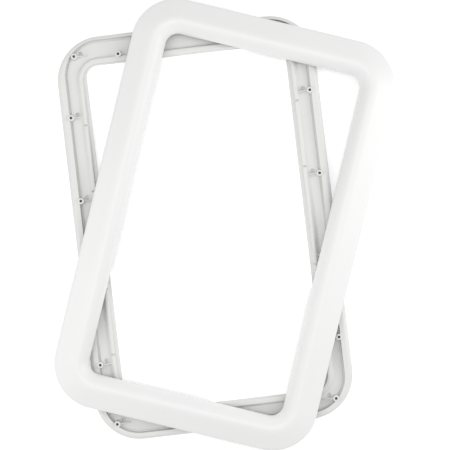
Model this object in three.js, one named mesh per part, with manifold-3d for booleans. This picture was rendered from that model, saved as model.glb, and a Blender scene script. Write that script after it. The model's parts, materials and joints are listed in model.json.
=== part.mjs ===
// Trim kit for the window of a recreational-vehicle entry door: an interior ring lying face down with its
// screw tubes up, an exterior ring lying crowned face up across it, a foam seal and a rubber gasket under
// the exterior ring, and the countersunk screws started in the interior ring. Millimetres, +Z up, z = 0 at
// the face land that the interior ring lies on. The origin is below the centre of the exterior ring.
import * as THREE from 'three';
import { mergeVertices } from 'three/addons/utils/BufferGeometryUtils.js';
import Module from 'manifold-3d';

const wasm = await Module();
wasm.setup();

// ---- driving dimensions ----
const INCH = 25.4;
const EXT_WIDTH = 16 * INCH; // exterior ring, outside
const EXT_HEIGHT = 25 * INCH;
const EXT_BAND = 52; // width of the exterior ring's moulding
const EXT_CORNER = 69; // outer corner radius
const EXT_INNER_CORNER = 19.5;
const INT_WIDTH = 396; // interior ring, outside
const INT_HEIGHT = 619;
const INT_BAND = 45;
const INT_CORNER = 68.5;
const INT_INNER_CORNER = 18;

const EXT_TURN = THREE.MathUtils.degToRad(-13.5); // each ring's turn about +Z as laid down
const INT_TURN = THREE.MathUtils.degToRad(6.75);
const INT_OFFSET = new THREE.Vector2(-29.6, -4.5); // interior ring's centre from the exterior ring's

const TUBE_TOP = 16; // highest point of the interior ring
const STACK_GAP = 0.35; // clear gap between pieces that lie on each other
const LAND_Z = 19.6; // flange land of the exterior ring
const GLASS_LAND_Z = 18.7; // land of the exterior ring above the glazing gasket
const SHELL = 3; // wall of the exterior moulding

const ARC_STEPS = 6; // steps in each rounded corner
const ROUND_SIDES = 12; // sides of tubes and holes

// Screw centres in the first quadrant of a ring's own frame; each is mirrored into the other three.
const SCREW_QUADRANT = [
  [182.8, 62], // side, near the middle
  [182.8, 189.3], // side, near the end
  [167.6, 281.6], // corner
  [100.4, 277.9], // top and bottom
];
const SIDE_SCREWS = 3; // how many of those have a web beside their tube

const TUBE_R = 5;
const TUBE_MOUTH_R = 4.7;
const TUBE_FOOT = 2.6; // height at which a tube starts inside the moulding
const HOLE_R = 2.3;
const SINK_R = 4.7; // countersink at the face
const SINK_Z = 1.6;
const HEAD_R = 4.1;
const HEAD_Z = 1.5; // flat of the screw's head
const HEAD_EDGE = 0.2;
const SHANK_R = 1.95;
const SCREW_LENGTH = 0.5 * INCH;
const POINT_LENGTH = 3;

const PILLAR_R = 4.5; // blind pillars of the exterior ring
const PILLAR_FOOT = LAND_Z - 0.6;
const PILOT_R = 1.6;
const PILOT_DEPTH = 7;

// ---- helpers ----
// Four half extents of a ring, from its centre, and its corner radii.
const EXTERIOR = {
  x: EXT_WIDTH / 2, y: EXT_HEIGHT / 2, band: EXT_BAND, outer: EXT_CORNER, inner: EXT_INNER_CORNER,
};
const INTERIOR = {
  x: INT_WIDTH / 2, y: INT_HEIGHT / 2, band: INT_BAND, outer: INT_CORNER, inner: INT_INNER_CORNER,
};

// A rounded rectangle, anticlockwise, set in from the ring's outline by its own amount at the sides, top
// and bottom.
function insetLoop(ring, side, top, bottom) {
  const share = side / ring.band;
  const radius = ring.outer + (ring.inner - ring.outer) * share;
  const right = ring.x - side - radius;
  const upper = ring.y - top - radius;
  const lower = -ring.y + bottom + radius;
  const corners = [[right, upper], [-right, upper], [-right, lower], [right, lower]];
  return corners.flatMap(([x, y], quarter) => Array.from({ length: ARC_STEPS + 1 }, (_, step) => {
    const angle = (quarter + step / ARC_STEPS) * Math.PI / 2;
    return [x + radius * Math.cos(angle), y + radius * Math.sin(angle)];
  }));
}

// A closed section swept round a ring. Each section point is [in from the edge, height] or
// [in at the sides, height, in at the top, in at the bottom]; the section runs up the outer edge, in
// across the top, and back along the underside.
function sweptRing(ring, section) {
  const loops = section.map(([side, z, top = side, bottom = top]) =>
    insetLoop(ring, side, top, bottom).map(([x, y]) => [x, y, z]));
  const count = loops[0].length;
  const index = [];
  loops.forEach((_, row) => {
    const next = (row + 1) % loops.length;
    for (let k = 0; k < count; k += 1) {
      const m = (k + 1) % count;
      const [a, b, c, d] = [row * count + k, row * count + m, next * count + m, next * count + k];
      index.push(a, b, c, a, c, d);
    }
  });
  const geometry = new THREE.BufferGeometry();
  geometry.setAttribute('position', new THREE.Float32BufferAttribute(loops.flat(2), 3));
  geometry.setIndex(index);
  return geometry;
}

function toSolid(source) {
  const bare = source.clone();
  bare.deleteAttribute('normal');
  bare.deleteAttribute('uv');
  const merged = mergeVertices(bare, 1e-4);
  return new wasm.Manifold(new wasm.Mesh({
    numProp: 3,
    vertProperties: new Float32Array(merged.attributes.position.array),
    triVerts: new Uint32Array(merged.index.array),
  }));
}

function toGeometry(solid) {
  const { vertProperties, triVerts } = solid.getMesh();
  const geometry = new THREE.BufferGeometry();
  geometry.setAttribute('position', new THREE.BufferAttribute(vertProperties, 3));
  geometry.setIndex(new THREE.BufferAttribute(triVerts, 1));
  return geometry;
}

const joined = (solids) => solids.reduce((all, solid) => all.add(solid));

// An upright round pin or cone from z0 to z1.
function roundPin(x, y, z0, z1, foot, head = foot) {
  const geometry = new THREE.CylinderGeometry(head, foot, z1 - z0, ROUND_SIDES);
  geometry.rotateX(Math.PI / 2);
  geometry.translate(x, y, (z0 + z1) / 2);
  return toSolid(geometry);
}

function screwCentres(quadrant) {
  return quadrant.flatMap(([x, y]) => [[x, y], [-x, y], [-x, -y], [x, -y]]);
}

function plastic(color, roughness) {
  return new THREE.MeshStandardMaterial({ color, roughness, metalness: 0 });
}

// ---- interior ring ----
// Bevelled rim, flange land, step down to a narrow groove, the channel floor, then the lip round the opening.
// The step lies nearer the edge at the top and bottom than at the sides, and the lip is wider there.
const INT_SECTION = [
  [0, 6.2],
  [0, 8.8],
  [5.2, 12, 5, 4.4],
  [12.8, 12, 5.8, 10],
  [13.2, 3.2, 6.4, 10.6],
  [15.2, 3.2, 8.4, 12.6],
  [15.6, 5, 8.8, 13],
  [28.6, 4.9, 32, 30.4],
  [34.4, 10, 34, 32.4],
  [38.6, 9.8, 41.4, 39.8],
  [40, 5.6, 42.4, 40.8],
  [INT_BAND, 5, 44, 42.4],
  [INT_BAND, 3.2, 44, 42.4],
  [INT_BAND - 1.8, 1, 42.2, 40.6],
  [36, 0],
  [22, 0],
  [12, 1],
  [4.4, 3],
];

// A thin web from a tube towards the opening, with a sloping top edge.
function tubeWeb(x, y) {
  const inward = -Math.sign(x);
  const reach = 19;
  const thickness = 1.8;
  const foot = 3.4;
  const shape = new THREE.Shape([
    new THREE.Vector2(0, foot),
    new THREE.Vector2(reach, foot),
    new THREE.Vector2(reach, 7.6),
    new THREE.Vector2(TUBE_R, 13),
    new THREE.Vector2(0, 13),
  ]);
  const geometry = new THREE.ExtrudeGeometry(shape, { depth: thickness, bevelEnabled: false });
  geometry.translate(0, 0, -thickness / 2);
  geometry.rotateX(Math.PI / 2);
  if (inward < 0) geometry.rotateZ(Math.PI);
  geometry.translate(x, y, 0);
  return toSolid(geometry);
}

function interiorFrame() {
  const centres = screwCentres(SCREW_QUADRANT);
  const tubes = centres.map(([x, y]) => roundPin(x, y, TUBE_FOOT, TUBE_TOP, TUBE_R, TUBE_MOUTH_R));
  const webs = screwCentres(SCREW_QUADRANT.slice(0, SIDE_SCREWS)).map(([x, y]) => tubeWeb(x, y));
  const body = joined([toSolid(sweptRing(INTERIOR, INT_SECTION)), ...tubes, ...webs]);
  const sinkTop = SINK_Z + SINK_R - HOLE_R;
  const holes = centres.flatMap(([x, y]) => [
    roundPin(x, y, -1, TUBE_TOP + 1, HOLE_R),
    roundPin(x, y, -1, SINK_Z, SINK_R),
    roundPin(x, y, SINK_Z, sinkTop, SINK_R, HOLE_R),
  ]);
  return toGeometry(body.subtract(joined(holes)));
}

// ---- exterior ring ----
// Outer face of the moulding: rounded edge, a straight slope up to the crown, then the shoulder that falls
// to the opening. Heights are above the flange land.
const FACE = [
  [0, 3.4], [0.8, 5], [3, 6.2], [26, 14.2], [30.5, 15.3], [35, 15.4], [39.5, 14.1],
  [44, 11.4], [48, 7.5], [50.8, 3.2], [52, -0.2],
];
const EXT_INSIDE = [ // underside, from the opening back to the flange
  [52, GLASS_LAND_Z - LAND_Z],
  [42.4, GLASS_LAND_Z - LAND_Z],
  [42.4, 8.4],
  [38.2, 11.6],
  [34, 15.3 - SHELL],
  [30.5, 15.2 - SHELL],
  [14, 9.8 - SHELL],
  [12, 0],
  [0.4, 0],
];
const raised = (section, lift) => section.map(([side, z]) => [side, z + lift]);

function exteriorFrame() {
  const centres = screwCentres(SCREW_QUADRANT);
  const shell = toSolid(sweptRing(EXTERIOR, raised([...FACE, ...EXT_INSIDE], LAND_Z)));
  const sunkFace = FACE.slice(2, -2).map(([side, z]) => [side, z - SHELL / 2]);
  const foot = PILLAR_FOOT - LAND_Z;
  const core = [[sunkFace[0][0], foot], ...sunkFace, [sunkFace.at(-1)[0], foot]];
  const room = toSolid(sweptRing(EXTERIOR, raised(core, LAND_Z)));
  const pins = centres.map(([x, y]) => roundPin(x, y, PILLAR_FOOT - 1, LAND_Z + 16, PILLAR_R));
  const pilots = centres.map(([x, y]) =>
    roundPin(x, y, PILLAR_FOOT - 1, PILLAR_FOOT + PILOT_DEPTH, PILOT_R));
  return toGeometry(shell.add(joined(pins).intersect(room)).subtract(joined(pilots)));
}

// ---- seals ----
function flangeSeal() {
  const low = TUBE_TOP + STACK_GAP;
  const high = LAND_Z - STACK_GAP;
  return sweptRing(EXTERIOR, [
    [2, low + 0.6], [2, high], [11, high], [11, low + 0.6], [10, low], [3, low],
  ]);
}

function glazingGasket() {
  const low = TUBE_TOP + STACK_GAP;
  const high = GLASS_LAND_Z - STACK_GAP;
  return sweptRing(EXTERIOR, [
    [43, low + 0.5], [43, high], [49.6, high], [49.6, low + 0.5], [48.8, low], [43.8, low],
  ]);
}

// ---- screws ----
function clampScrew() {
  const tip = HEAD_Z + SCREW_LENGTH;
  const headTop = HEAD_Z + HEAD_EDGE + HEAD_R - SHANK_R;
  const profile = [
    [0, HEAD_Z], [HEAD_R, HEAD_Z], [HEAD_R, HEAD_Z + HEAD_EDGE], [SHANK_R, headTop],
    [SHANK_R, tip - POINT_LENGTH], [0, tip],
  ].map(([r, z]) => new THREE.Vector2(r, z));
  const geometry = new THREE.LatheGeometry(profile, 10);
  geometry.rotateX(Math.PI / 2);
  return geometry;
}

// ---- assembly ----
const white = plastic(0xf2f2f0, 0.38);
const exterior = new THREE.Group();
exterior.rotation.z = EXT_TURN;
const interior = new THREE.Group();
interior.rotation.z = INT_TURN;
interior.position.set(INT_OFFSET.x, INT_OFFSET.y, 0);

function addPiece(parent, name, geometry, material) {
  const mesh = new THREE.Mesh(geometry, material);
  mesh.name = name;
  parent.add(mesh);
  return mesh;
}

addPiece(interior, 'interior_frame', interiorFrame(), white);
addPiece(exterior, 'exterior_frame', exteriorFrame(), white);
addPiece(exterior, 'flange_seal', flangeSeal(), plastic(0x2b2c2e, 0.95));
addPiece(exterior, 'glazing_gasket', glazingGasket(), plastic(0x1f2022, 0.7));

const zinc = new THREE.MeshStandardMaterial({ color: 0xb9bcc0, roughness: 0.3, metalness: 1 });
screwCentres(SCREW_QUADRANT).forEach(([x, y], number) => {
  const name = `clamp_screw_${String(number + 1).padStart(2, '0')}`;
  addPiece(interior, name, clampScrew(), zinc).position.set(x, y, 0);
});

const kit = new THREE.Group();
kit.name = 'entry_door_window_trim_kit';
kit.add(interior, exterior);
export default kit;
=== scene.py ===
import json
import math
import random

import bmesh
import bpy
from mathutils import Matrix, Vector


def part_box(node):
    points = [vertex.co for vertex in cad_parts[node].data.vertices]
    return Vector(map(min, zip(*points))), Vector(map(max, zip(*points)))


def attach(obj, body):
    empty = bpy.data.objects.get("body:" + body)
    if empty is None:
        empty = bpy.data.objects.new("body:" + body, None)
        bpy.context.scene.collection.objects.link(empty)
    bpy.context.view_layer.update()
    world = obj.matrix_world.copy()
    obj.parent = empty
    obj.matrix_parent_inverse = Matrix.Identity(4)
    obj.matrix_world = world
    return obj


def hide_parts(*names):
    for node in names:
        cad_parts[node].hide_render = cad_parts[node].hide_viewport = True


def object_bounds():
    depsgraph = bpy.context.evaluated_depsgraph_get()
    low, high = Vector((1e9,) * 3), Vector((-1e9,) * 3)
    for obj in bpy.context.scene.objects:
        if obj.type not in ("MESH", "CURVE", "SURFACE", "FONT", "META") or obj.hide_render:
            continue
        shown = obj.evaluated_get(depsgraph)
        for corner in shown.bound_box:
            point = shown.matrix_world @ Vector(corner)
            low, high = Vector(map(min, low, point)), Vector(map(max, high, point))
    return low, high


# Looks of the entry-door window trim kit: smooth moulded rings, screws, foam seal and rubber gasket, built
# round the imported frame. Sections are in millimetres and turned into metres where a mesh is made.
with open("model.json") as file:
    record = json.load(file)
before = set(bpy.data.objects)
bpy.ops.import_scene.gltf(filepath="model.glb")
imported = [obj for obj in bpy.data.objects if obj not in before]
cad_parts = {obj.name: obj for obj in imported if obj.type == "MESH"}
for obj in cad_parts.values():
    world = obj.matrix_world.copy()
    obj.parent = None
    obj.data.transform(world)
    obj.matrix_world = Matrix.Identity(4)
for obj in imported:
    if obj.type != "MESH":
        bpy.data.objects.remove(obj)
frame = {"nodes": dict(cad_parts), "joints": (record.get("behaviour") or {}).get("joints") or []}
cad_low, cad_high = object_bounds()

MM = 0.001
SEED = 16

# ---- places, from the frame ----
ext_low, ext_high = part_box("exterior_frame")
int_low, int_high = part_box("interior_frame")
seal_low, seal_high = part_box("flange_seal")
gasket_low, gasket_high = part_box("glazing_gasket")
screw_boxes = {n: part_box(n) for n in sorted(frame["nodes"]) if n.startswith("clamp_screw_")}

swivel = next(j for j in frame["joints"] if j["name"] == "swivel")
EXT_TURN = math.radians(-13.5)  # the exterior ring's turn about +Z as laid down
INT_TURN = EXT_TURN + math.radians(swivel["range_deg"][1])  # the swivel's limit lines the rings up

CROWN = 15.4  # height of the exterior ring's crown above its flange land
LAND = ext_high.z / MM - CROWN
EDGE = 4.6  # height of its upright outer edge
GLASS_LAND = -0.9  # land above the gasket, from the flange land
SHELL = 3.0  # wall of the exterior moulding
TUBE_TOP = int_high.z / MM


EXT_SIZE, EXT_BAND, EXT_CORNERS = (406.4, 635.0), 52.0, (69.0, 19.5)  # corners are (outside, inside)
INT_SIZE, INT_BAND, INT_CORNERS = (396.0, 619.0), 45.0, (68.5, 18.0)


class Ring:
    """A rounded rectangle: half its size, its band and corner radii in millimetres, and its place."""

    def __init__(self, low, high, turn, size, band, corners):
        self.half = (size[0] / 2, size[1] / 2)
        self.band = band
        self.outer, self.inner = corners
        self.place = Matrix.Translation(((low.x + high.x) / 2, (low.y + high.y) / 2, 0))
        self.place @= Matrix.Rotation(turn, 4, "Z")


EXTERIOR = Ring(ext_low, ext_high, EXT_TURN, EXT_SIZE, EXT_BAND, EXT_CORNERS)
INTERIOR = Ring(int_low, int_high, INT_TURN, INT_SIZE, INT_BAND, INT_CORNERS)

# Screw centres in a ring's own frame, from the screws of the interior ring.
to_ring = INTERIOR.place.inverted()
SCREWS = {n: to_ring @ ((low + high) / 2) / MM for n, (low, high) in screw_boxes.items()}


# ---- mesh helpers ----
ARC_STEPS = 22
STRAIGHT_STEP = 12.0  # millimetres between points of a straight run
FILLET_STEPS = 5
LEAST_FILLET = 0.02  # a smaller fillet is left out
SHARP, SHARP_SEAL, SHARP_SCREW = 32, 50, 40  # degrees between faces at a sharp edge


def filleted(section):
    """Rounds each corner of a closed section. Its points are (side, z, fillet, top, bottom)."""
    points = [tuple(p) + ((p[0], p[0]) if len(p) == 3 else ()) for p in section]
    vectors = [Vector((p[0], p[3], p[4], p[1])) for p in points]
    fillets = [p[2] for p in points]
    made = []
    for k, here in enumerate(vectors):
        before = vectors[k - 1] - here
        after = vectors[(k + 1) % len(vectors)] - here
        flat = [math.hypot(v[0], v[3]) for v in (before, after)]
        cut = min(fillets[k], 0.5 * flat[0], 0.5 * flat[1])
        if cut < LEAST_FILLET:
            made.append(here)
            continue
        start, end = here + before * (cut / flat[0]), here + after * (cut / flat[1])
        for step in range(FILLET_STEPS + 1):
            t = step / FILLET_STEPS
            made.append(start * (1 - t) ** 2 + here * (2 * t * (1 - t)) + end * t ** 2)
    return made


def straight_count(ring):
    return [round(2 * half / STRAIGHT_STEP) for half in (ring.half[0], ring.half[1])]


def inset_loop(ring, point):
    """An anticlockwise rounded rectangle, set in from the ring's outline at the sides, top and bottom."""
    side, top, bottom, z = point
    radius = ring.outer + (ring.inner - ring.outer) * side / ring.band
    right = ring.half[0] - side - radius
    upper, lower = ring.half[1] - top - radius, -ring.half[1] + bottom + radius
    across, along = straight_count(ring)
    corners = [(right, upper), (-right, upper), (-right, lower), (right, lower)]
    loop = []
    for quarter, (x, y) in enumerate(corners):
        for step in range(ARC_STEPS + 1):
            angle = (quarter + step / ARC_STEPS) * math.pi / 2
            loop.append(Vector((x + radius * math.cos(angle), y + radius * math.sin(angle), z)))
        x2, y2 = corners[(quarter + 1) % 4]
        angle = (quarter + 1) * math.pi / 2
        end = Vector((x2 + radius * math.cos(angle), y2 + radius * math.sin(angle), z))
        start = loop[-1].copy()
        count = across if quarter % 2 == 0 else along
        loop.extend(start.lerp(end, k / count) for k in range(1, count))
    return loop


def swept_ring(name, ring, section, lift=0.0):
    """A closed section swept round a ring."""
    loops = [inset_loop(ring, p) for p in section]
    count = len(loops[0])
    verts = [(v.x * MM, v.y * MM, (v.z + lift) * MM) for loop in loops for v in loop]
    faces = []
    for row in range(len(loops)):
        after = (row + 1) % len(loops)
        for k in range(count):
            m = (k + 1) % count
            faces.append((row * count + k, row * count + m, after * count + m, after * count + k))
    return new_piece(name, verts, faces)


def new_piece(name, verts, faces):
    mesh = bpy.data.meshes.new(name)
    mesh.from_pydata(verts, [], faces)
    mesh.update()
    piece = bpy.data.objects.new(name, mesh)
    bpy.context.scene.collection.objects.link(piece)
    return piece


def turned(profile, x, y, sides=40):
    """Vertices and faces of an upright turned solid; the profile runs up from the axis to the axis."""
    verts = [(x * MM, y * MM, profile[0][1] * MM)]
    rows = profile[1:-1]
    for r, z in rows:
        for k in range(sides):
            a = 2 * math.pi * k / sides
            verts.append(((x + r * math.cos(a)) * MM, (y + r * math.sin(a)) * MM, z * MM))
    verts.append((x * MM, y * MM, profile[-1][1] * MM))
    last = len(verts) - 1
    faces = [(0, 1 + (k + 1) % sides, 1 + k) for k in range(sides)]
    for row in range(len(rows) - 1):
        a, b = 1 + row * sides, 1 + (row + 1) * sides
        faces += [(a + k, a + (k + 1) % sides, b + (k + 1) % sides, b + k) for k in range(sides)]
    top = 1 + (len(rows) - 1) * sides
    faces += [(top + k, top + (k + 1) % sides, last) for k in range(sides)]
    return verts, faces


def gathered(name, solids):
    """One mesh piece of several separate solids, each a pair of vertices and faces."""
    verts, faces = [], []
    for v, f in solids:
        faces += [tuple(i + len(verts) for i in face) for face in f]
        verts += v
    return new_piece(name, verts, faces)


def baked(piece):
    """Applies a piece's modifiers to its mesh."""
    graph = bpy.context.evaluated_depsgraph_get()
    mesh = bpy.data.meshes.new_from_object(piece.evaluated_get(graph))
    old = piece.data
    piece.modifiers.clear()
    piece.data = mesh
    mesh.name = piece.name
    bpy.data.meshes.remove(old)
    return piece


def carve(piece, tool, operation):
    """Joins or cuts a piece with a tool, which is then removed."""
    cut = piece.modifiers.new(operation.lower(), "BOOLEAN")
    cut.operation, cut.object, cut.solver = operation, tool, "EXACT"
    bpy.context.view_layer.update()
    baked(piece)
    bpy.data.objects.remove(tool)
    return piece


def laid(piece, ring, angle=SHARP):
    """Puts a ring's piece in its place, shaded smooth but for its sharp edges."""
    piece.data.transform(ring.place)
    return smooth(piece, angle)


def smooth(piece, angle=SHARP):
    """Shades a piece smooth, but for edges sharper than the angle in degrees."""
    mesh = piece.data
    mesh.polygons.foreach_set("use_smooth", [True] * len(mesh.polygons))
    mesh.set_sharp_from_angle(angle=math.radians(angle))
    weighted = piece.modifiers.new("weighted", "WEIGHTED_NORMAL")
    weighted.keep_sharp = True
    return piece


def block(corners_low, corners_high, place):
    """A straight-sided solid between two outlines of the same number of points, low and high."""
    n = len(corners_low)
    points = [Vector((x, y, z)) for x, y, z in corners_low + corners_high]
    verts = [tuple(place @ p * MM) for p in points]
    faces = [tuple(range(n - 1, -1, -1)), tuple(range(n, 2 * n))]
    faces += [(k, (k + 1) % n, n + (k + 1) % n, n + k) for k in range(n)]
    return verts, faces


# ---- materials ----
class Shader:
    """A Principled material with short calls for its nodes."""

    def __init__(self, name, color, roughness, metallic=0.0):
        self.material = bpy.data.materials.new(name)
        self.material.use_nodes = True
        self.tree = self.material.node_tree
        self.bsdf = self.tree.nodes["Principled BSDF"]
        self.bsdf.inputs["Base Color"].default_value = (*color, 1)
        self.bsdf.inputs["Roughness"].default_value = roughness
        self.bsdf.inputs["Metallic"].default_value = metallic
        self.where = self.node("ShaderNodeTexCoord").outputs["Object"]

    def node(self, kind, **settings):
        made = self.tree.nodes.new(kind)
        for key, value in settings.items():
            setattr(made, key, value)
        return made

    def link(self, source, target):
        self.tree.links.new(source, target)

    def noise(self, scale, detail=4.0, roughness=0.5, stretch=(1, 1, 1)):
        mapping = self.node("ShaderNodeMapping")
        mapping.inputs["Scale"].default_value = stretch
        self.link(self.where, mapping.inputs["Vector"])
        noise = self.node("ShaderNodeTexNoise")
        noise.inputs["Scale"].default_value = scale
        noise.inputs["Detail"].default_value = detail
        noise.inputs["Roughness"].default_value = roughness
        self.link(mapping.outputs["Vector"], noise.inputs["Vector"])
        return noise.outputs["Fac"]

    def ramp(self, source, stops):
        ramp = self.node("ShaderNodeValToRGB")
        elements = ramp.color_ramp.elements
        while len(elements) < len(stops):
            elements.new(0.5)
        for element, (position, value) in zip(elements, stops):
            element.position = position
            element.color = (*value, 1)
        self.link(source, ramp.inputs["Fac"])
        return ramp.outputs["Color"]

    def span(self, source, low, high):
        spread = self.node("ShaderNodeMapRange")
        spread.inputs["From Min"].default_value = 0.15
        spread.inputs["From Max"].default_value = 0.85
        spread.inputs["To Min"].default_value = low
        spread.inputs["To Max"].default_value = high
        self.link(source, spread.inputs["Value"])
        return spread.outputs["Result"]

    def bump(self, source, strength, distance, under=None):
        bump = self.node("ShaderNodeBump")
        bump.inputs["Strength"].default_value = strength
        bump.inputs["Distance"].default_value = distance
        self.link(source, bump.inputs["Height"])
        if under is not None:
            self.link(under, bump.inputs["Normal"])
        return bump.outputs["Normal"]

    def use(self, **sources):
        for key, source in sources.items():
            self.link(source, self.bsdf.inputs[key.replace("_", " ")])
        return self.material


def white_plastic(name, shade, blue, roughness, grain):
    """Moulded white ABS: faint clouding, slight orange peel, uneven gloss and a fine tool grain."""
    light = (shade, shade, shade * blue)
    dark = [0.985 * k for k in light]
    s = Shader(name, light, roughness)
    s.bsdf.inputs["IOR"].default_value = 1.53
    s.bsdf.inputs["Specular IOR Level"].default_value = 0.5
    color = s.ramp(s.noise(9, 2, 0.4), [(0.2, dark), (0.8, light)])
    gloss = s.span(s.noise(16, 2, 0.45), roughness - 0.045, roughness + 0.045)
    peel = s.bump(s.noise(420, 1, 0.4), 0.05, 0.0001)
    fine = s.bump(s.noise(2600, 2, 0.6), grain, 0.00006, peel)
    return s.use(Base_Color=color, Roughness=gloss, Normal=fine)


def zinc():
    """Bright zinc plate with fine drawn lines and a little blotching."""
    s = Shader("zinc_plate", (0.55, 0.56, 0.58), 0.3, 1.0)
    blotch = s.noise(260, 3)
    color = s.ramp(blotch, [(0.3, (0.42, 0.43, 0.45)), (0.7, (0.66, 0.67, 0.68))])
    gloss = s.span(s.noise(900, 4), 0.29, 0.44)
    lines = s.bump(s.noise(3000, 2, 0.5, (1, 1, 0.1)), 0.2, 0.00004)
    return s.use(Base_Color=color, Roughness=gloss, Normal=lines)


def foam():
    """Closed-cell foam: matt, with small open pores."""
    s = Shader("closed_cell_foam", (0.03, 0.03, 0.032), 0.92)
    cells = s.node("ShaderNodeTexVoronoi")
    cells.inputs["Scale"].default_value = 1400
    s.link(s.where, cells.inputs["Vector"])
    pores = cells.outputs["Distance"]
    color = s.ramp(pores, [(0.05, (0.012, 0.012, 0.013)), (0.4, (0.042, 0.042, 0.045))])
    return s.use(Base_Color=color, Normal=s.bump(pores, 0.7, 0.0003))


def rubber():
    """Extruded gasket rubber: matt black with a faint bloom and a fine surface grain."""
    s = Shader("gasket_rubber", (0.02, 0.02, 0.022), 0.6)
    bloom = s.noise(60, 4)
    color = s.ramp(bloom, [(0.35, (0.014, 0.014, 0.016)), (0.7, (0.034, 0.034, 0.036))])
    gloss = s.span(bloom, 0.5, 0.72)
    return s.use(Base_Color=color, Roughness=gloss, Normal=s.bump(s.noise(1500, 2), 0.25, 0.00008))


def dress(piece, material, slot, body, *nodes):
    piece.data.materials.clear()
    piece.data.materials.append(material)
    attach(piece, body)
    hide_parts(*nodes)
    return piece


# ---- interior ring ----
INT_SECTION = [  # from the outer edge over the back to the opening, then over the face
    (0, 6.2, 1.6),
    (0, 8.8, 1.3),
    (5.2, 12, 1.6, 5, 4.4),
    (12.8, 12, 0.5, 5.8, 10),
    (13.2, 3.2, 0.3, 6.4, 10.6),
    (15.2, 3.2, 0.3, 8.4, 12.6),
    (15.6, 5, 0.4, 8.8, 13),
    (28.6, 4.9, 2.2, 32, 30.4),
    (34.4, 10, 1.6, 34, 32.4),
    (38.6, 9.8, 0.8, 41.4, 39.8),
    (40, 5.6, 0.4, 42.4, 40.8),
    (INT_BAND, 5, 0.5, 44, 42.4),
    (INT_BAND, 3.2, 0.9, 44, 42.4),
    (INT_BAND - 1.8, 1, 1.4, 42.2, 40.6),
    (36, 0, 3.0),
    (22, 0, 5.0),
    (12, 1, 4.0),
    (4.4, 3, 3.0),
]
FLOOR_Z = 5.0  # the channel's floor
TUBE_R, MOUTH_R, HOLE_R = 5.0, 4.7, 2.3
SINK_R, SINK_Z = 4.7, 1.6  # the countersink's straight mouth
WEB_REACH, WEB_TOP, WEB_TOE = 19.6, 13.0, 7.6  # toe: height of the web's far end
WEB_FOOT, WEB_CREST = 1.1, 0.7  # half thicknesses
NO_WEB_INSIDE = 120.0  # tubes nearer than this to the upright middle line have no web
WELL_R, WELL_Z, WELL_AWAY, WELL_UP = 3.3, 1.3, 9.2, 4.7
NOTCH_IN, NOTCH_PLACES = 37.6, (176.0, 75.0, -75.0, -176.0)
NOTCH_HALF = (4.2, 1.1)
MARK_R, MARK_DEPTH = 3.2, 0.1
MARKS_UPRIGHT, MARKS_ACROSS = (127, 0, -127, 230, -230), (-50, 0, 50)
MARK_X, MARK_Y = 172, 288


def tube_profile():
    top = TUBE_TOP
    return [
        (0, 2.8), (TUBE_R + 1.2, 2.8), (TUBE_R + 1.0, FLOOR_Z + 0.1), (TUBE_R + 0.4, FLOOR_Z + 0.4),
        (TUBE_R + 0.05, FLOOR_Z + 1.2), (MOUTH_R, top - 0.9), (MOUTH_R - 0.12, top - 0.5),
        (MOUTH_R - 0.45, top - 0.14), (MOUTH_R - 0.95, top), (0, top),
    ]


def hole_profile():
    """Screw hole: countersink at the face, plain bore, and a small chamfer at the tube's mouth."""
    return [
        (0, -1), (SINK_R, -1), (SINK_R, SINK_Z), (HOLE_R, SINK_Z + SINK_R - HOLE_R),
        (HOLE_R - 0.15, TUBE_TOP - 0.2), (HOLE_R + 0.1, TUBE_TOP + 0.05), (HOLE_R + 0.1, TUBE_TOP + 1),
        (0, TUBE_TOP + 1),
    ]


def inward(x):
    """Sign of the direction from an upright bar to the opening."""
    return -1 if x > 0 else 1


def tube_web(x, y):
    """A thin web from a tube towards the opening, thicker at its foot."""
    outline = [(0, 3), (WEB_REACH, 3), (WEB_REACH - 0.6, WEB_TOE), (TUBE_R, WEB_TOP), (0, WEB_TOP)]
    near = [(u, -(WEB_FOOT if z < 6 else WEB_CREST), z) for u, z in outline]
    far = [(u, (WEB_FOOT if z < 6 else WEB_CREST), z) for u, z in outline]
    place = Matrix.Translation((x, y, 0)) @ Matrix.Rotation(0 if inward(x) > 0 else math.pi, 4, "Z")
    return block(near[::-1], far[::-1], place)


def web_well(x, y):
    """A round core-out in the channel floor, on the upper side of a web."""
    above = FLOOR_Z + 0.6
    profile = [
        (0, WELL_Z), (WELL_R - 0.5, WELL_Z), (WELL_R - 0.2, WELL_Z + 0.3), (WELL_R, above), (0, above),
    ]
    return turned(profile, x + inward(x) * WELL_AWAY, y + WELL_UP)


def lip_notches():
    """Small locating notches in the lip of the long sides."""
    made = []
    u, v = NOTCH_HALF
    low = [(-u, -v, 6.2), (u, -v, 6.2), (u, v, 6.2), (-u, v, 6.2)]
    high = [(x, y * 1.3, 12) for x, y, _ in low]
    for sx in (-1, 1):
        for y in NOTCH_PLACES:
            x = sx * (INTERIOR.half[0] - NOTCH_IN)
            made.append(block(low, high, Matrix.Translation((x, y, 0))))
    return made


def ejector_marks():
    """Shallow round marks on the channel floor, midway between tubes."""
    bottom = FLOOR_Z - MARK_DEPTH
    profile = [(0, bottom), (MARK_R, bottom), (MARK_R + 0.2, 6), (0, 6)]
    made = []
    for y in MARKS_UPRIGHT:
        made += [turned(profile, sx * MARK_X, y) for sx in (-1, 1)]
    for x in MARKS_ACROSS:
        made += [turned(profile, x, sy * MARK_Y) for sy in (-1, 1)]
    return made


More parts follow.
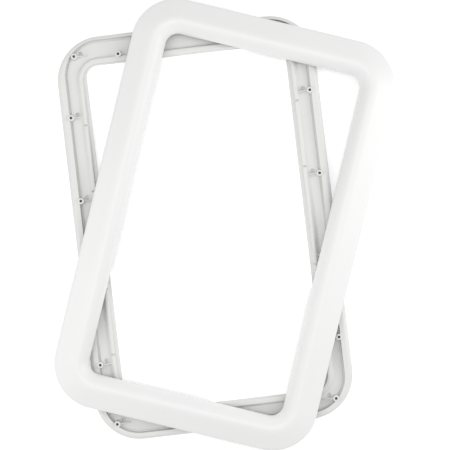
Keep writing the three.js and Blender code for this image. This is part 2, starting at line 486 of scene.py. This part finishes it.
def interior_ring():
    ring = swept_ring("interior_trim_ring", INTERIOR, filleted(INT_SECTION))
    centres = [(c.x, c.y) for c in SCREWS.values()]
    carve(ring, gathered("tubes", [turned(tube_profile(), x, y) for x, y in centres]), "UNION")
    webbed = [(x, y) for x, y in centres if abs(x) > NO_WEB_INSIDE]
    carve(ring, gathered("webs", [tube_web(x, y) for x, y in webbed]), "UNION")
    carve(ring, gathered("holes", [turned(hole_profile(), x, y) for x, y in centres]), "DIFFERENCE")
    wells = [web_well(x, y) for x, y in webbed]
    carve(ring, gathered("marks", wells + lip_notches() + ejector_marks()), "DIFFERENCE")
    laid(ring, INTERIOR)
    material = white_plastic("interior_plastic", 0.72, 0.978, 0.42, 0.35)
    return dress(ring, material, "interior_plastic", "interior_ring", "interior_frame")


# ---- exterior ring ----
EXT_FACE = [  # heights above the flange land; (side, z, fillet)
    (0, 0, 0.3), (0, EDGE, 1.6), (3.2, 6.3, 2.4), (26, 14.2, 9), (30.5, 15.3, 9), (35, 15.4, 9),
    (39.5, 14.1, 9), (44, 11.4, 9), (48, 7.5, 9), (50.8, 3.2, 9), (EXT_BAND, -0.2, 0.6),
]
EXT_INSIDE = [
    (EXT_BAND, GLASS_LAND, 0.4), (42.4, GLASS_LAND, 0.4), (42.4, 8.4, 1.5), (38.2, 11.6, 2),
    (34, CROWN - 0.1 - SHELL, 2), (30.5, CROWN - 0.2 - SHELL, 2), (14, 9.8 - SHELL, 1), (12, 0, 0.4),
]
PILLAR_R, PILLAR_FOOT = 4.5, -0.6
PILLAR_COVER = 2.0  # face left above a pillar's top
PILOT_R, PILOT_DEPTH = 1.6, 7.0


def face_height(side):
    """Height of the exterior face above its land, this far in from the edge."""
    for (s0, z0, _), (s1, z1, _) in zip(EXT_FACE[1:], EXT_FACE[2:]):
        if s0 <= side <= s1 and s1 > s0:
            return z0 + (z1 - z0) * (side - s0) / (s1 - s0)
    return 0.0


def edge_distance(ring, x, y):
    """How far a point of a ring's own frame is in from its outline."""
    across, along = ring.half[0] - abs(x), ring.half[1] - abs(y)
    if across < ring.outer and along < ring.outer:
        return ring.outer - math.hypot(ring.outer - across, ring.outer - along)
    return min(across, along)


def pillar(x, y):
    """A screw pillar under the face, over one of the interior ring's tubes once the rings are in line."""
    side = edge_distance(EXTERIOR, x, y)
    top = min(face_height(side - PILLAR_R), face_height(side + PILLAR_R)) - PILLAR_COVER
    foot = LAND + PILLAR_FOOT
    profile = [
        (0, foot), (PILLAR_R - 0.6, foot), (PILLAR_R - 0.1, foot + 0.5), (PILLAR_R, LAND + top),
        (0, LAND + top),
    ]
    return turned(profile, x, y)


def pilot(x, y):
    """The blind pilot hole up a pillar."""
    foot = LAND + PILLAR_FOOT
    depth = foot + PILOT_DEPTH
    profile = [
        (0, foot - 1), (PILOT_R + 0.5, foot - 1), (PILOT_R + 0.5, foot), (PILOT_R, foot + 0.5),
        (PILOT_R, depth), (0, depth + 0.8),
    ]
    return turned(profile, x, y, 24)


def exterior_ring():
    ring = swept_ring("exterior_trim_ring", EXTERIOR, filleted(EXT_FACE + EXT_INSIDE), LAND)
    centres = [(c.x, c.y) for c in SCREWS.values()]
    carve(ring, gathered("pillars", [pillar(x, y) for x, y in centres]), "UNION")
    carve(ring, gathered("pilots", [pilot(x, y) for x, y in centres]), "DIFFERENCE")
    laid(ring, EXTERIOR)
    material = white_plastic("exterior_plastic", 0.80, 0.995, 0.42, 0.15)
    return dress(ring, material, "exterior_plastic", "exterior_ring", "exterior_frame")


# ---- seals ----
def flange_foam():
    low, high = seal_low.z / MM, seal_high.z / MM
    section = [(2, low + 0.2, 0.5), (2, high, 0.3), (11, high, 0.3), (11, low + 0.2, 0.5), (6.5, low, 3)]
    seal = swept_ring("flange_foam_seal", EXTERIOR, filleted(section))
    laid(seal, EXTERIOR, SHARP_SEAL)
    return dress(seal, foam(), "foam", "exterior_ring", "flange_seal")


def glass_gasket():
    low, high = gasket_low.z / MM, gasket_high.z / MM
    section = [
        (43, low + 0.5, 0.3), (43, high, 0.3), (49.6, high, 0.3), (49.6, low + 0.5, 0.3), (48.8, low, 0.3),
        (47.6, low, 0.2), (47.2, low + 0.5, 0.2), (45.4, low + 0.5, 0.2), (45, low, 0.2), (43.8, low, 0.3),
    ]
    gasket = swept_ring("glass_gasket", EXTERIOR, filleted(section))
    laid(gasket, EXTERIOR, SHARP_SEAL)
    return dress(gasket, rubber(), "gasket_rubber", "gasket", "glazing_gasket")


# ---- screws ----
HEAD_R, SHANK_R, POINT = 4.1, 1.95, 3.0
THREAD_PITCH, THREAD_DEPTH = 1.4, 0.42
THREAD_ROWS, SCREW_SIDES = 64, 32
RECESS_ARM, RECESS_HALF_WIDTH, RECESS_DEPTH = 2.3, 0.55, 1.7


def screw_rows(length):
    """Rows of the screw from its head at z = 0 to its point, each (root radius, z, thread height)."""
    root = SHANK_R - THREAD_DEPTH
    rows = [(HEAD_R - 0.25, 0, 0), (HEAD_R - 0.05, 0.06, 0), (HEAD_R, 0.2, 0), (HEAD_R - 0.1, 0.34, 0)]
    neck = 0.2 + HEAD_R - root
    rows += [(root + 0.35, neck - 0.35, 0), (root, neck + 0.15, 0)]
    for k in range(1, THREAD_ROWS):
        z = neck + 0.2 + (length - neck - 0.3) * k / THREAD_ROWS
        left = min(1.0, (length - z) / POINT)
        rows.append((root * left, z, THREAD_DEPTH * min(1.0, k / 5) * (0.25 + 0.75 * left)))
    return rows


def screw_mesh(length):
    """Countersunk screw, head down at z = 0, with one thread wound round its shank as a single surface."""
    rows = screw_rows(length)
    verts = [(0, 0, 0)]
    for r, z, crest in rows:
        for k in range(SCREW_SIDES):
            phase = (z / THREAD_PITCH - k / SCREW_SIDES) % 1.0
            reach = r + crest * max(0.0, 1 - abs(phase - 0.5) * 4)
            a = 2 * math.pi * k / SCREW_SIDES
            verts.append((reach * math.cos(a) * MM, reach * math.sin(a) * MM, z * MM))
    verts.append((0, 0, length * MM))
    n, last = SCREW_SIDES, len(verts) - 1
    faces = [(0, 1 + (k + 1) % n, 1 + k) for k in range(n)]
    for row in range(len(rows) - 1):
        a, b = 1 + row * n, 1 + (row + 1) * n
        faces += [(a + k, a + (k + 1) % n, b + (k + 1) % n, b + k) for k in range(n)]
    top = 1 + (len(rows) - 1) * n
    faces += [(top + k, top + (k + 1) % n, last) for k in range(n)]
    screw = new_piece("screw_blank", verts, faces)
    arm, width = RECESS_ARM, RECESS_HALF_WIDTH
    low = [(-arm, -width, -0.5), (arm, -width, -0.5), (arm, width, -0.5), (-arm, width, -0.5)]
    high = [(x * 0.35, y * 0.6, RECESS_DEPTH) for x, y, _ in low]
    for turn in (0, math.pi / 2):
        wing = block(low, high, Matrix.Rotation(turn, 4, "Z"))
        carve(screw, gathered("recess", [wing]), "DIFFERENCE")
    smooth(screw, SHARP_SCREW)
    return screw


def clamp_screws():
    first = screw_boxes["clamp_screw_01"]
    blank = screw_mesh((first[1].z - first[0].z) / MM)
    material = zinc()
    draw = random.Random(SEED)
    for node, (low, high) in screw_boxes.items():
        piece = blank.copy()
        piece.name = node.replace("clamp_screw", "countersunk_screw")
        bpy.context.scene.collection.objects.link(piece)
        centre = Vector(((low.x + high.x) / 2, (low.y + high.y) / 2, low.z))
        piece.matrix_world = Matrix.Translation(centre) @ Matrix.Rotation(draw.uniform(0, math.pi), 4, "Z")
        dress(piece, material, "zinc_screw", "interior_ring", node)
    bpy.data.objects.remove(blank)


# ---- stage ----
CAMERA_UP = 1.6  # from the exterior ring's edge to the camera
VIEW_WIDTH = 0.6805  # width seen in that plane
AIM = Vector((0.0008, -0.0007))  # the view's centre, from the exterior ring's


def camera():
    data = bpy.data.cameras.new("camera")
    data.sensor_width = 36
    data.lens = data.sensor_width * CAMERA_UP / VIEW_WIDTH
    eye = bpy.data.objects.new("camera", data)
    centre = (ext_low + ext_high) / 2
    eye.location = (centre.x + AIM.x, centre.y + AIM.y, (LAND + EDGE) * MM + CAMERA_UP)
    bpy.context.scene.collection.objects.link(eye)
    bpy.context.scene.camera = eye


LIGHT_SIZE = (0.6, 0.9)
LIGHTS = [  # name, azimuth and elevation in degrees, distance, power
    ("key", 8, 30, 1.5, 7.3),
    ("fill", 180, 50, 1.5, 3.6),
    ("low_fill", 210, 30, 1.5, 2.4),
    ("overhead", 90, 90, 1.9, 7.5),
]
SURROUND = 0.59  # strength of the white surroundings
FLOOR_REACH, FLOOR_GAP, FLOOR_GLOW = 6.0, 0.0002, 0.3


def area_light(name, azimuth, elevation, distance, power):
    """A soft box on a sphere round the object, aimed at its middle."""
    data = bpy.data.lights.new(name, "AREA")
    data.shape = "RECTANGLE"
    data.size, data.size_y = LIGHT_SIZE
    data.energy = power
    light = bpy.data.objects.new(name, data)
    flat, rise = math.radians(azimuth), math.radians(elevation)
    away = Vector((math.cos(rise) * math.cos(flat), math.cos(rise) * math.sin(flat), math.sin(rise)))
    light.location = away * distance
    light.rotation_euler = away.to_track_quat("Z", "Y").to_euler()
    bpy.context.scene.collection.objects.link(light)


def studio():
    for light in LIGHTS:
        area_light(*light)
    world = bpy.data.worlds.new("studio")
    world.use_nodes = True
    background = world.node_tree.nodes["Background"]
    background.inputs["Color"].default_value = (1, 1, 1, 1)
    background.inputs["Strength"].default_value = SURROUND
    bpy.context.scene.world = world


def floor():
    """A plain white sweep that glows a little; seen from below it is clear."""
    reach = FLOOR_REACH
    z = cad_low.z - FLOOR_GAP
    verts = [(-reach, -reach, z), (reach, -reach, z), (reach, reach, z), (-reach, reach, z)]
    ground = new_piece("floor", verts, [(0, 1, 2, 3)])
    s = Shader("white_sweep", (0.9, 0.9, 0.9), 0.8)
    s.bsdf.inputs["Emission Color"].default_value = (1, 1, 1, 1)
    s.bsdf.inputs["Emission Strength"].default_value = FLOOR_GLOW
    mix = s.node("ShaderNodeMixShader")
    clear = s.node("ShaderNodeBsdfTransparent")
    output = s.tree.nodes["Material Output"]
    s.link(s.node("ShaderNodeNewGeometry").outputs["Backfacing"], mix.inputs["Fac"])
    s.link(s.bsdf.outputs["BSDF"], mix.inputs[1])
    s.link(clear.outputs["BSDF"], mix.inputs[2])
    s.link(mix.outputs["Shader"], output.inputs["Surface"])
    ground.data.materials.append(s.material)


camera()
interior_ring()
exterior_ring()
flange_foam()
glass_gasket()
clamp_screws()
studio()
floor()
bpy.context.scene.view_settings.view_transform = "Standard"
